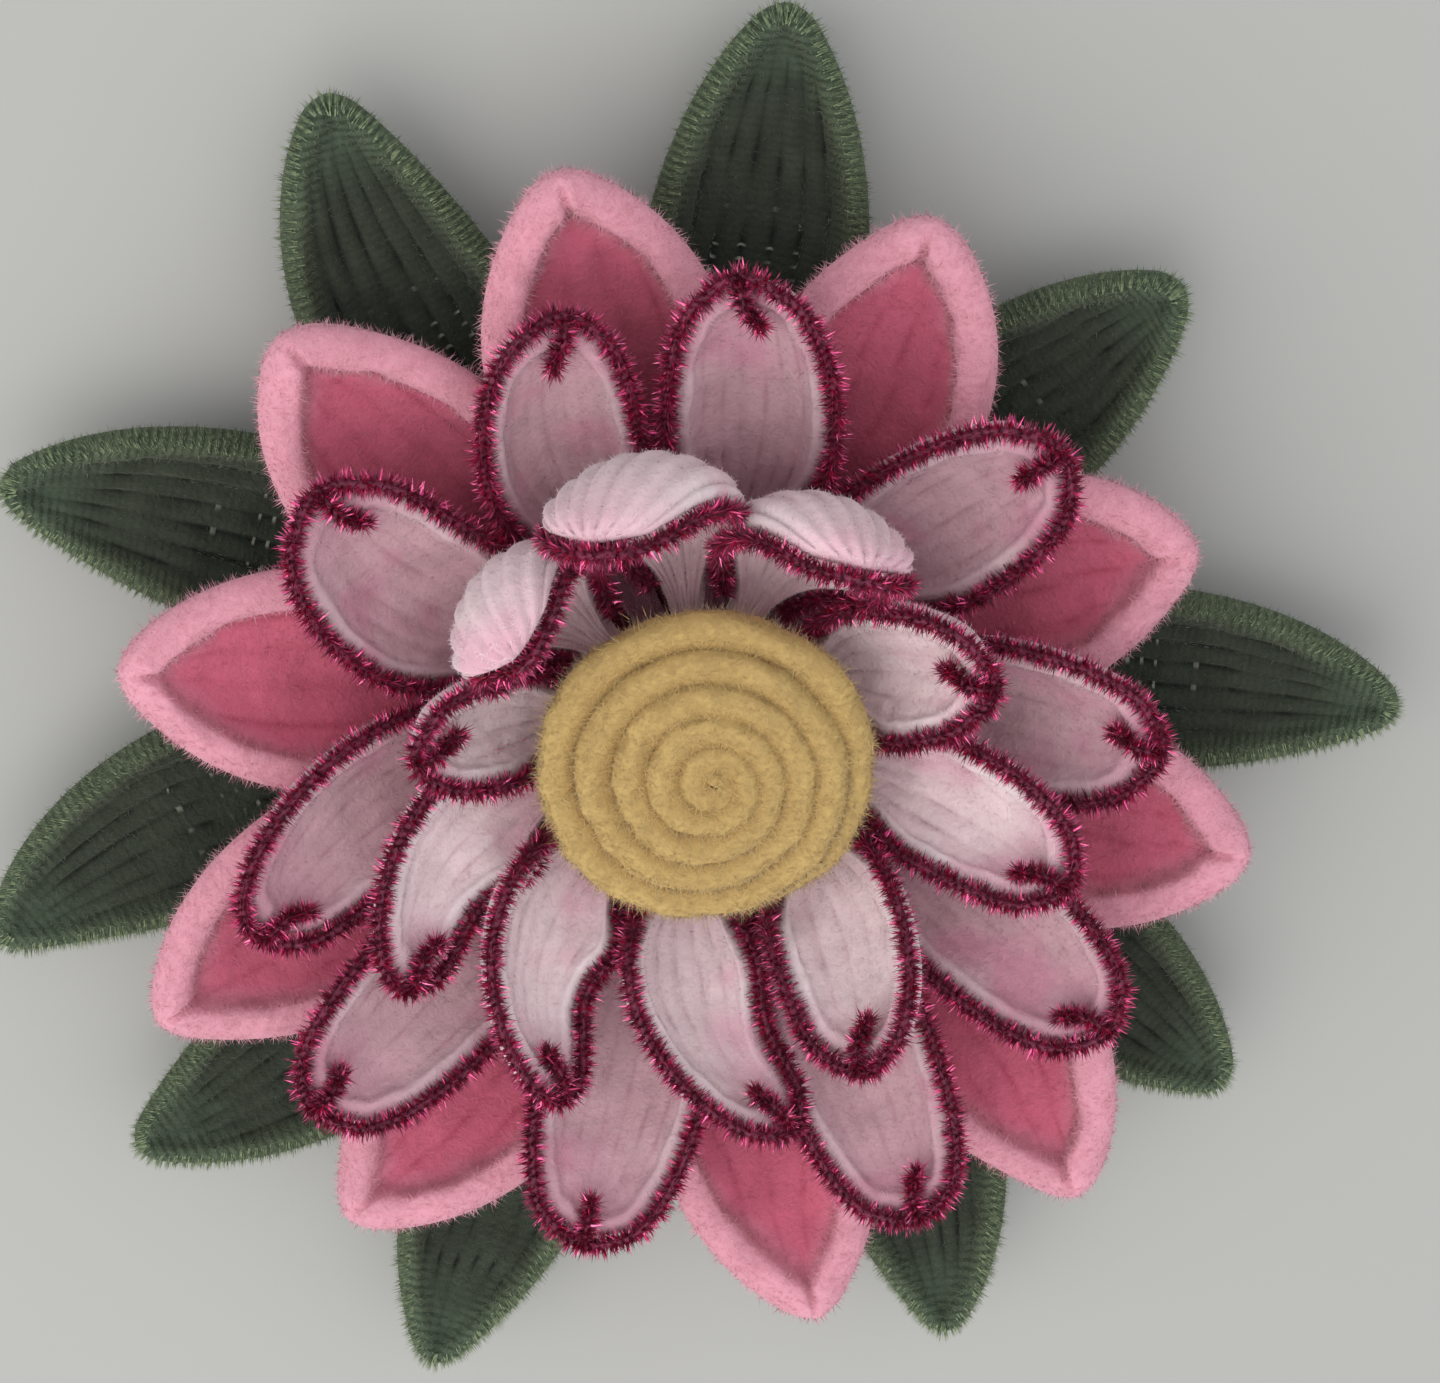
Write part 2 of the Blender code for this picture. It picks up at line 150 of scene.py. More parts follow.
INNER_PETALS = (
    Petal(341, 0.086, lift=5, curl=92, roll=-3, width=1.25, shift=5),
    Petal(33, 0.076, lift=4, curl=80, roll=-5, width=1.2, shift=-5),
    Petal(72, 0.053, lift=4, width=1.08, roll=10),
    Petal(107, 0.068, lift=-1, roll=14, shift=3),
    Petal(150, 0.067, lift=15, width=1.1, shift=2),
    Petal(167, 0.071, lift=1, roll=14, width=1.1, shift=8, bow=8, taper=0.3),
    Petal(203, 0.068, roll=18, width=1.2, shift=6, bow=11, taper=0.4),
    Petal(233, 0.066, lift=-1, width=1.1, shift=4, bow=8, taper=0.3),
    Petal(274, 0.051, lift=6, curl=14, roll=-10, width=0.85, shift=1),
    Petal(311, 0.074, lift=1, curl=134, roll=-9, width=1.25, shift=0),
)

# The photograph's frame
PHOTO_WIDTH, PHOTO_HEIGHT = 1440, 1383
METRES_PER_PIXEL = 0.00021
AXIS_PIXEL = (700, 665)
CAMERA_TILT = 20
CAMERA_DISTANCE = 0.60

# A blade of pile is wound to face as its surface does, and towards the side that the flower shows
SURFACE_PULL = 1.5
FACING = np.array([0, math.sin(math.radians(CAMERA_TILT)), math.cos(math.radians(CAMERA_TILT))])


def unit(vectors):
    """Rows scaled to length one."""
    return vectors / np.maximum(np.linalg.norm(vectors, axis=-1, keepdims=True), 1e-12)


def radial(azimuth):
    """Unit vectors away from the axis, for azimuths in degrees."""
    angle = np.radians(azimuth)
    return np.stack([np.sin(angle), np.cos(angle), np.zeros_like(angle)], -1)


def ranged_array(low, high, values):
    """0 below low, 1 above high, smooth between."""
    share = np.clip((values - low) / (high - low), 0, 1)
    return share * share * (3 - 2 * share)


class Surface:
    """The cupped sheet that a petal's stems lie in, unrolled to x across and u along."""

    def __init__(self, ring, petal, place, count, root_radius=HUB_RADIUS + SEAT_GAP):
        self.ring = ring
        self.petal = petal
        root = ring.first_root + petal.shift + 360 * place / count
        root = petal.azimuth + (root - petal.azimuth + 180) % 360 - 180
        u = np.linspace(0, 1, SPINE_STEPS + 1)
        azimuth = root + (petal.azimuth - root) * u ** SWAY_POWER + petal.bow * np.sin(np.pi * u)
        slope = (ring.lift + petal.lift) * np.minimum(1, u / ROOT_BEND)
        slope = np.radians(slope + (ring.curl + petal.curl) * u ** ring.curl_power)
        step = petal.length / SPINE_STEPS
        radius = root_radius + step * np.concatenate([[0], np.cumsum(np.cos(slope))[:-1]])
        height = ring.root_height + step * np.concatenate([[0], np.cumsum(np.sin(slope))[:-1]])
        self.points = radial(azimuth) * radius[:, None]
        self.points[:, 2] = height
        after = np.concatenate([self.points[1:], self.points[-1:]])
        before = np.concatenate([self.points[:1], self.points[:-1]])
        along = unit(after - before)
        along[0] = radial(azimuth[0])
        across = radial(azimuth + 90)
        across = unit(across - along * np.sum(along * across, 1, keepdims=True))
        up = np.cross(across, along)
        roll = np.radians(petal.roll) * (u ** ROLL_POWER)[:, None]
        self.along = along
        self.across = across * np.cos(roll) + up * np.sin(roll)
        self.up = np.cross(self.across, along)

    def half_width(self, u):
        """Half the sheet's width at u, before the visible outline is rounded at the tip."""
        ring = self.ring
        u = np.clip(u, 0, 1)
        widest = ring.half_width * self.petal.width
        grown = np.sin(np.pi / 2 * np.minimum(u / ring.widest, 1)) ** ring.waist_power
        past = np.clip((u - ring.widest) / (1 - ring.widest), 0, 1)
        left = np.maximum(1 - past * past, 0) ** ring.tip_power
        before = ring.root_half_width + (widest - ring.root_half_width) * grown
        after = ring.tip_half_width + (widest - ring.tip_half_width) * left
        waist = 1 - self.petal.taper * ranged_array(TAPER_FROM, TAPER_TO, u)
        return np.where(u < ring.widest, before, after) * waist

    def at(self, rows, u):
        """Values of the spine's rows at u, straight on past both ends."""
        place = np.clip(u, 0, 1) * SPINE_STEPS
        low = np.minimum(place.astype(int), SPINE_STEPS - 1)
        mix = (place - low)[..., None]
        return rows[low] * (1 - mix) + rows[low + 1] * mix

    def place(self, u, x, offset):
        """Points at u along and x metres across, offset to the inside, and the inside normals."""
        half = self.half_width(u)
        widest = self.ring.half_width * self.petal.width
        cup = np.radians(self.ring.cup) * (ROOT_CUP_SHARE + (1 - ROOT_CUP_SHARE) * half / widest)
        bend = half / cup
        angle = x / bend
        along = unit(self.at(self.along, u))
        across = unit(self.at(self.across, u))
        up = unit(self.at(self.up, u))
        centre = self.at(self.points, u) + along * ((u - np.clip(u, 0, 1)) * self.petal.length)[..., None]
        sideways = ((bend - offset) * np.sin(angle))[..., None]
        rise = (bend - (bend - offset) * np.cos(angle))[..., None]
        inside = up * np.cos(angle)[..., None] - across * np.sin(angle)[..., None]
        return centre + across * sideways + up * rise, inside

    def edge(self, u):
        """Half the width of the visible outline, which is round at the tip."""
        rounding = self.ring.tip_half_width / self.petal.length
        past = np.clip((u - (1 - rounding)) / rounding, 0, 1)
        return self.half_width(u) * np.sqrt(np.maximum(1 - past * past, 0))

    def outline(self, start=0.0, count=160):
        """Points (x, y) of the unrolled outline, up one side and down the other."""
        turn = np.linspace(0, np.pi / 2, count)
        u = start + (1 - start) * np.sin(turn)
        half = self.edge(u)
        y = u * self.petal.length
        left = np.stack([-half, y], 1)
        right = np.stack([half, y], 1)[::-1][1:]
        return np.concatenate([left, right])


def distance_to(points, line):
    """Least distance from each point to a polyline, in the plane."""
    start, end = line[:-1], line[1:]
    step = end - start
    square = np.maximum((step ** 2).sum(1), 1e-18)
    share = np.einsum("pij,ij->pi", points[:, None] - start[None], step) / square
    nearest = start[None] + np.clip(share, 0, 1)[..., None] * step[None]
    return np.sqrt(((points[:, None] - nearest) ** 2).sum(2).min(1))


def grid_faces(rows, columns, start=0, flip=False):
    """Quads of a grid of vertices laid out row by row."""
    i, j = np.meshgrid(np.arange(rows - 1), np.arange(columns - 1), indexing="ij")
    a = (start + i * columns + j).ravel()
    quads = np.stack([a, a + 1, a + columns + 1, a + columns], 1)
    return quads[:, ::-1] if flip else quads


class Shape:
    """Vertices, faces, material indices and the lay attribute of one piece."""

    def __init__(self):
        self.points = np.zeros((0, 3))
        self.lay = np.zeros((0, 3))
        self.normals = np.zeros((0, 3))
        self.quads = np.zeros((0, 4), int)
        self.kinds = np.zeros(0, int)

    def add(self, points, lay, quads, kind=0, normals=None):
        start = len(self.points)
        self.points = np.concatenate([self.points, points])
        self.lay = np.concatenate([self.lay, lay])
        given = np.zeros_like(points) if normals is None else normals
        self.normals = np.concatenate([self.normals, given])
        self.quads = np.concatenate([self.quads, quads + start])
        self.kinds = np.concatenate([self.kinds, np.full(len(quads), kind)])

    def face_data(self):
        """Centres, unit normals and areas of the quads."""
        corner = self.points[self.quads]
        cross = np.cross(corner[:, 2] - corner[:, 0], corner[:, 3] - corner[:, 1])
        area = np.linalg.norm(cross, axis=1) / 2
        return corner, unit(cross), area

    def object(self, name, materials, replaced, slot):
        """The piece as an object that rides on the part. A quad with its last corner twice is a triangle."""
        mesh = bpy.data.meshes.new(name)
        is_triangle = self.quads[:, 2] == self.quads[:, 3]
        sizes = np.where(is_triangle, 3, 4)
        keep = np.ones_like(self.quads, bool)
        keep[:, 3] = ~is_triangle
        mesh.vertices.add(len(self.points))
        mesh.vertices.foreach_set("co", self.points.ravel())
        mesh.loops.add(int(sizes.sum()))
        mesh.loops.foreach_set("vertex_index", self.quads[keep].astype(np.int32))
        mesh.polygons.add(len(self.quads))
        starts = np.concatenate([[0], np.cumsum(sizes)[:-1]])
        mesh.polygons.foreach_set("loop_start", starts.astype(np.int32))
        mesh.polygons.foreach_set("material_index", self.kinds.astype(np.int32))
        mesh.polygons.foreach_set("use_smooth", np.ones(len(self.quads), bool))
        mesh.update(calc_edges=True)
        attribute = mesh.attributes.new("lay", "FLOAT_VECTOR", "POINT")
        attribute.data.foreach_set("vector", self.lay.ravel())
        given = np.linalg.norm(self.normals, axis=1) > 0.5
        if given.any():
            own = np.zeros(len(self.points) * 3)
            mesh.vertex_normals.foreach_get("vector", own)
            merged = np.where(given[:, None], self.normals, own.reshape(-1, 3))
            mesh.normals_split_custom_set_from_vertices(merged)
        for made_of in materials:
            mesh.materials.append(made_of)
        placed = bpy.data.objects.new(name, mesh)
        bpy.context.scene.collection.objects.link(placed)
        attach(placed, "root")
        if replaced:
            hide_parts(replaced)
        return placed


@dataclass
class Blades:
    """Pile: how many blades, their length and width in metres, and their lean in degrees."""

    count: int
    length: float
    width: float
    lean: float


def add_blades(shape, one, other, tip, lay, kind, up):
    """Triangles with the shading of the surface under them, wound to face the way it does."""
    faces = np.cross(other - one, tip - one)
    away = np.sum(faces * (up * SURFACE_PULL + FACING), 1) < 0
    one[away], other[away] = other[away].copy(), one[away].copy()
    points = np.stack([one, other, tip], 1).reshape(-1, 3)
    first = np.arange(len(tip)) * 3
    quads = np.stack([first, first + 1, first + 2, first + 2], 1)
    shape.add(points, np.repeat(lay, 3, 0), quads, kind, np.repeat(up, 3, 0))


def across_quad(corner, a, b):
    """Values at shares a and b across each quad, from those at its four corners."""
    near = corner[:, 0] * (1 - a) + corner[:, 1] * a
    far = corner[:, 3] * (1 - a) + corner[:, 2] * a
    return near * (1 - b) + far * b


def add_pile(shape, rng, blades, kind, weight=None):
    """Pile on the quads so far: blades that lean over the surface and are shaded as it is."""
    count = blades.count
    corner, normal, area = shape.face_data()
    chance = area if weight is None else area * weight(shape.lay[shape.quads].mean(1), normal)
    chosen = rng.choice(len(area), count, p=chance / chance.sum())
    a, b = rng.random((2, count, 1))
    quad = corner[chosen]
    base = across_quad(quad, a, b)
    lay = across_quad(shape.lay[shape.quads[chosen]], a, b)
    up = normal[chosen]
    side = unit(np.cross(up, rng.normal(size=(count, 3))))
    tilt = np.radians(blades.lean * (0.6 + 0.6 * rng.random((count, 1))))
    reach = up * np.cos(tilt) + side * np.sin(tilt)
    across = unit(np.cross(reach, up))
    size = blades.length * (0.6 + 0.8 * rng.random((count, 1)))
    half = across * blades.width / 2 * (0.7 + 0.6 * rng.random((count, 1)))
    add_blades(shape, base - half, base + half, base + reach * size, lay, kind, up)


def rough(points, scale, size):
    """Smooth noise at each point, from -size to size."""
    return np.array([noise.noise(Vector(point) * scale) for point in points]) * size


# Relief of a petal: sizes in metres, noise scales per metre, shares of the length or the width
ROOT_SQUEEZE = 0.22
SIDE_APART = 0.05
RIM_NOISE = 190
STEM_NOISE, STEM_WANDER = 60, 0.35
FADED_CREST = 0.7
SEAM_HALF_WIDTH = 0.0011
SEAM_FROM, SEAM_FULL = 0.86, 0.92
BACK_CREST_SHARE = 0.85
EDGE_ROUNDING = 0.0035
FAR_INSIDE = 3
ROW_EASE = 0.85
LAST_ROW = 0.9995
WAVE_NOISE, CREASE_NOISE, CREASE_SHARE = 110, 420, 0.4
WAVE_EDGE = 0.003


@dataclass
class Plush:
    """The relief of a petal: its rim, the stems inside it and their backs, and its grid's size.

    The stems fade between two shares of the length, and the seam is the notch at the tip.
    """

    rim_width: float
    rim_root: float
    rim_height: float
    stem_width: float
    stem_height: float
    valley: float
    under_valley: float
    back_width: float
    rim_wander: float
    fade_from: float
    fade_to: float
    seam: float
    wave: float
    rows: int
    columns: int


def lobe(share):
    """A round crest for each whole step of share."""
    return np.sqrt(np.maximum(1 - (2 * (share % 1) - 1) ** 2, 0))


def plush_height(look, surface, u, x):
    """Heights over and under the middle sheet, distance from the edge, share of the rim, and crest."""
    ring = surface.ring
    distance = distance_to(np.stack([x, u * surface.petal.length], 1), surface.outline())
    half = surface.half_width(u)
    widest = ring.half_width * surface.petal.width
    squeeze = np.where(u < ring.widest, np.clip(half / widest, ROOT_SQUEEZE, 1), 1)
    run = distance / squeeze
    length, own = u * surface.petal.length, x * 0 + surface.petal.azimuth
    along = np.stack([length, np.sign(x) * SIDE_APART, own], 1)
    growth = look.rim_root + (1 - look.rim_root) * np.clip(u, 0, 1) ** 2
    rim = look.rim_width * growth * (1 + rough(along, RIM_NOISE, look.rim_wander))
    share = run / rim
    in_rim = share < 1
    wander = rough(np.stack([length, x * 0, own], 1), STEM_NOISE, STEM_WANDER)
    stems = lobe(0.5 + x / half * round(widest / look.stem_width) + wander)
    fade = ranged_array(look.fade_from, look.fade_to, u)
    inside = look.valley + (look.stem_height - look.valley) * (stems * (1 - fade) + FADED_CREST * fade)
    shoulder = np.cos(np.pi * np.clip(share - 0.5, 0, 0.5)) ** 2
    inner_half = inside + (look.rim_height - inside) * shoulder
    height = np.where(share < 0.5, look.rim_height * lobe(share), inner_half)
    seam = look.seam * np.exp(-((x / SEAM_HALF_WIDTH) ** 2)) * ranged_array(SEAM_FROM, SEAM_FULL, u)
    height = height * (1 - seam)
    lobes = lobe(0.5 + x / half * round(widest / look.back_width))
    below = look.under_valley + (look.rim_height * BACK_CREST_SHARE - look.under_valley) * lobes
    below = below * np.sqrt(1 - (1 - np.minimum(distance / EDGE_ROUNDING, 1)) ** 2)
    # The crest value steers the plush's painted shade: dark in the valleys, light on the crests and the rim's
    # shoulder
    crest = np.where(in_rim, np.maximum(shoulder, stems * (1 - shoulder)), stems)
    return height, below, distance, np.minimum(share, FAR_INSIDE), crest


def petal_shape(look, surface):
    """The plush body of a petal, closed all round, with its stems above and their backs below."""
    shape = Shape()
    v = np.linspace(0, 1, look.rows)
    u = np.sin(v * np.pi / 2) ** ROW_EASE * LAST_ROW
    tau = np.linspace(-1, 1, look.columns)
    sigma = np.sin(tau * np.pi / 2)
    uu, ss = np.meshgrid(u, sigma, indexing="ij")
    uu = uu.ravel()
    xx = ss.ravel() * surface.edge(uu)
    height, below_height, distance, share, crest = plush_height(look, surface, uu, xx)
    lay = np.stack([uu, share, crest], 1)
    unrolled = np.stack([uu * surface.petal.length, xx, xx * 0 + surface.petal.azimuth], 1)
    wave = rough(unrolled, WAVE_NOISE, look.wave) + rough(unrolled, CREASE_NOISE, look.wave * CREASE_SHARE)
    rim = np.abs(ss.ravel()) >= 1
    wavy = height + wave * np.minimum(1, distance / WAVE_EDGE)
    top, _ = surface.place(uu, xx, np.where(rim, 0, wavy))
    below, _ = surface.place(uu, xx, np.where(rim, 0, -below_height))
    rows, columns = look.rows, look.columns
    points = np.concatenate([top, below])
    quads = [grid_faces(rows, columns), grid_faces(rows, columns, rows * columns, flip=True)]
    both = np.concatenate([lay, lay])
    remap = np.arange(len(points))
    edge_index = np.flatnonzero(rim)
    remap[edge_index + rows * columns] = edge_index
    last = (rows - 1) * columns
    remap[rows * columns + last:] = np.arange(last, last + columns)
    root_top = np.arange(columns)
    root_below = remap[root_top + rows * columns]
    cap = np.stack([root_top[1:], root_top[:-1], root_below[:-1], root_below[1:]], 1)
    quads = remap[np.concatenate(quads + [cap])]
    a, b, c, d = quads.T
    fixed = quads[(a != b) & (b != c) & (a != d)]
    used = np.unique(fixed)
    renumber = np.zeros(len(points), int)
    renumber[used] = np.arange(len(used))
    shape.add(points[used], both[used], renumber[fixed])
    return shape


def square_to(along):
    """Two unit vectors square to each direction and to each other."""
    upright = np.abs(along[:, 2:3]) >= 0.9
    helper = np.where(upright, np.array([[1.0, 0, 0]]), np.array([[0, 0, 1.0]]))
    side = unit(np.cross(along, helper))
    return side, np.cross(along, side)


def tube(shape, path, lay, radius, sides, kind):
    """A closed tube round a path of points, with a flat end on both."""
    side, other = square_to(unit(np.gradient(path, axis=0)))
    angle = np.linspace(0, 2 * np.pi, sides, endpoint=False)
    cosine, sine = np.cos(angle)[None, :, None], np.sin(angle)[None, :, None]
    offset = side[:, None] * cosine + other[:, None] * sine
    thickness = np.broadcast_to(radius, len(path))[:, None, None]
    points = (path[:, None] + offset * thickness).reshape(-1, 3)
    i, j = np.meshgrid(np.arange(len(path) - 1), np.arange(sides), indexing="ij")
    k = (j + 1) % sides
    quads = np.stack([i * sides + j, i * sides + k, (i + 1) * sides + k, (i + 1) * sides + j], -1)
    quads = quads.reshape(-1, 4)
    ends = np.stack([path[0], path[-1]])
    first, last = len(points), len(points) + 1
    ring = np.arange(sides)
    after = (ring + 1) % sides
    start_cap = np.stack([after, ring, np.full(sides, first), np.full(sides, first)], 1)
    end = (len(path) - 1) * sides
    end_cap = np.stack([end + ring, end + after, np.full(sides, last), np.full(sides, last)], 1)
    points = np.concatenate([points, ends])
    lays = np.concatenate([np.repeat(lay, sides, 0), lay[[0]], lay[[-1]]])
    shape.add(points, lays, np.concatenate([quads, start_cap, end_cap]), kind)


def resample(path, spacing):
    """The path at even spacing."""
    run = np.concatenate([[0], np.cumsum(np.linalg.norm(np.diff(path, axis=0), axis=1))])
    count = max(int(run[-1] / spacing), 2)
    even = np.linspace(0, run[-1], count + 1)
    return np.stack([np.interp(even, run, path[:, k]) for k in range(path.shape[1])], 1)


# Tinsel: foil slivers on a twisted wire, in metres
TINSEL_RIDE = 0.0008
TINSEL_START = 0.24
TINSEL_TWIST = 0.0034
# Shares of the shaded, plain and glinting foil copies, which paint the foil's shade and glints
TINSEL_KINDS = (0.42, 0.32, 0.26)
RIM_WIRE, TAIL_WIRE, WIRE_SIDES = 0.0009, 0.0006, 6
TAIL_SPACING = 0.0005
FAN_COUNT, FAN_REACH, FAN_HALF_WIDTH = 140, 0.0036, 0.00022


@dataclass
class Slivers:
    """Foil slivers: how many to a metre, how far they reach, and how wide they are at the wire."""

    density: int
    reach: float
    width: float


RIM_SLIVERS = Slivers(46000, 0.0034, 0.00048)
TAIL_SLIVERS = Slivers(60000, 0.0032, 0.00048)


def add_foil(shape, rng, one, other, end, lay):
    """Pointed slivers, each in the shaded, plain or glinting copy of the foil, which paint its shade and
    glints.
    """
    count = len(end)
    first = np.arange(count) * 3
    quads = np.stack([first, first + 1, first + 2, first + 2], 1)
    start = len(shape.quads)
    shape.add(np.stack([one, other, end], 1).reshape(-1, 3), np.repeat(lay, 3, 0), quads)
    shape.kinds[start:] = rng.choice(len(TINSEL_KINDS), count, p=TINSEL_KINDS) + 1


def add_slivers(shape, rng, path, slivers):
    """Foil slivers standing out of a twisted wire along a path, in turning bunches."""
    run = np.concatenate([[0], np.cumsum(np.linalg.norm(np.diff(path, axis=0), axis=1))])
    count = int(run[-1] * slivers.density)
    t = rng.random(count) * run[-1]
    base = np.stack([np.interp(t, run, path[:, k]) for k in range(3)], 1)
    along_all = unit(np.gradient(path, axis=0))
    along = unit(np.stack([np.interp(t, run, along_all[:, k]) for k in range(3)], 1))
    side, other = square_to(along)
    angle = 2 * np.pi * t / TINSEL_TWIST + np.pi * rng.integers(0, 2, count) + rng.normal(0, 0.38, count)
    out = side * np.cos(angle)[:, None] + other * np.sin(angle)[:, None]
    out = unit(out + along * rng.normal(0, 0.22, (count, 1)))
    around = np.cross(along, out)
    turn = rng.normal(0, 0.9, (count, 1))
    blade = unit(along * np.cos(turn) + around * np.sin(turn))
    share = np.where(rng.random((count, 1)) < 0.5, 0.60, 0.95)
    length = slivers.reach * share * (0.85 + 0.35 * rng.random((count, 1)))
    half = blade * slivers.width / 2 * (0.75 + 0.5 * rng.random((count, 1)))
    droop = along * rng.normal(0, 0.0003, (count, 1))
    inner = base + out * 0.0006
    outer = base + out * length + droop
    lay = np.stack([t / run[-1], rng.random(count), rng.random(count)], 1)
    add_foil(shape, rng, inner - half, inner + half, outer, lay)


def add_fan(shape, rng, place, ahead):
    """The slivers that splay from a cut end."""
    ahead = unit(ahead)
    out = unit(ahead * 0.75 + rng.normal(0, 0.62, (FAN_COUNT, 3)))
    blade = unit(np.cross(out, rng.normal(size=(FAN_COUNT, 3))))
    half = blade * FAN_HALF_WIDTH
    base = place + rng.normal(0, 0.0004, (FAN_COUNT, 3))
    end = base + out * FAN_REACH * (0.6 + 0.5 * rng.random((FAN_COUNT, 1)))
    lay = rng.random((FAN_COUNT, 3))
    add_foil(shape, rng, base - half, base + half, end, lay)


def tinsel_path(surface, spacing):
    """The tinsel's wire: just outside the rim, round the tip, and back."""
    line = surface.outline(start=TINSEL_START)
    step = unit(np.gradient(line, axis=0))
    outward = np.stack([-step[:, 1], step[:, 0]], 1)
    x, y = (line + outward * (TINSEL_STEM / 2 + SEAT_GAP)).T
    points, _ = surface.place(y / surface.petal.length, x, np.full(len(x), TINSEL_RIDE))
    return resample(points, spacing)


def tail_path(surface, bend):
    """The twisted ends: up over the rim at the tip, then inward along the petal."""
    length = surface.petal.length
    inward = np.array([-0.0023, -0.0005, 0.0015, 0.0030, 0.0042, 0.0050])
    height = np.array([0.0006, 0.0040, 0.0052, 0.0048, 0.0050, 0.0060])
    share = np.linspace(0, 1, len(inward))
    x = bend * share ** 2
    points, _ = surface.place(1 - inward / length, x, height)
    return resample(points, TAIL_SPACING)


# Materials


def node(tree, kind, inputs=None, **settings):
    """A node with its settings and inputs. An input is a value or another node's output."""
    made = tree.nodes.new(kind)
    for name, value in settings.items():
        setattr(made, name, value)
    for name, value in (inputs or {}).items():
        if isinstance(value, bpy.types.NodeSocket):
            tree.links.new(value, made.inputs[name])
        else:
            made.inputs[name].default_value = value
    return made


def mix(tree, factor, one, other, blend="MIX"):
    """Colour mixed from one to the other by a factor."""
    made = tree.nodes.new("ShaderNodeMix")
    made.data_type = "RGBA"
    made.blend_type = blend
    for index, value in ((0, factor), (6, one), (7, other)):
        if isinstance(value, bpy.types.NodeSocket):
            tree.links.new(value, made.inputs[index])
        elif index:
            made.inputs[index].default_value = (*value, 1.0)
        else:
            made.inputs[index].default_value = value
    return made.outputs[2]


def ranged(tree, value, low, high, to_low=0.0, to_high=1.0, smooth=True):
    """The value mapped from one range to another and kept within it."""
    made = node(
        tree, "ShaderNodeMapRange",
        {"Value": value, "From Min": low, "From Max": high, "To Min": to_low, "To Max": to_high},
        interpolation_type="SMOOTHSTEP" if smooth else "LINEAR",
    )
    return made.outputs[0]


def math_node(tree, operation, one, other):
    """The result of one sum. Each operand is a value or another node's output."""
    made = tree.nodes.new("ShaderNodeMath")
    made.operation = operation
    for index, value in ((0, one), (1, other)):
        if isinstance(value, bpy.types.NodeSocket):
            tree.links.new(value, made.inputs[index])
        else:
            made.inputs[index].default_value = value
    return made.outputs[0]


def new_material(name):
    """A material with its node tree and its shader."""
    made = bpy.data.materials.new(name)
    made.use_nodes = True
    return made, made.node_tree, made.node_tree.nodes["Principled BSDF"]


